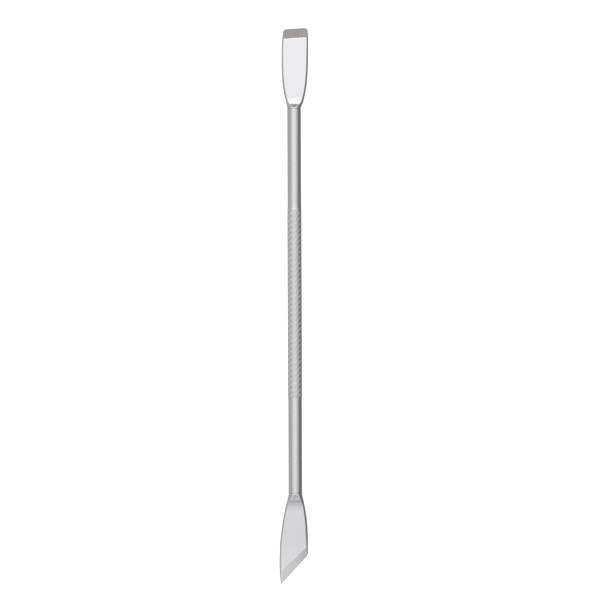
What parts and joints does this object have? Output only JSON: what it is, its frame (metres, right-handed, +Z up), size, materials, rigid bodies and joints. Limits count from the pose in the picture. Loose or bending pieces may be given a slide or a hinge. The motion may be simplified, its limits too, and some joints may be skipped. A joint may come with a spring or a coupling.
{
  "type": "spudger tool",
  "caption": "Slim double-ended steel pry tool: a round rod with a knurled grip, a flat chisel blade at one end and a slanted pointed blade at the other.",
  "frame": {"origin": "centre of the bounding box's base, under the middle of the rod", "axes": "+Y along the rod towards the chisel blade, +X across the blades, +Z up, out of the blades' front faces, the chisel's bevel among them"},
  "size_m": [0.0096, 0.1752, 0.0045],
  "materials": {
    "rod_steel": "satin",
    "chisel_steel": "satin, ground bevel",
    "angled_steel": "satin, ground bevels"
  },
  "bodies": {
    "root": {"handle_rod": "rod_steel", "chisel_blade": "chisel_steel", "angled_blade": "angled_steel"}
  },
  "joints": []
}
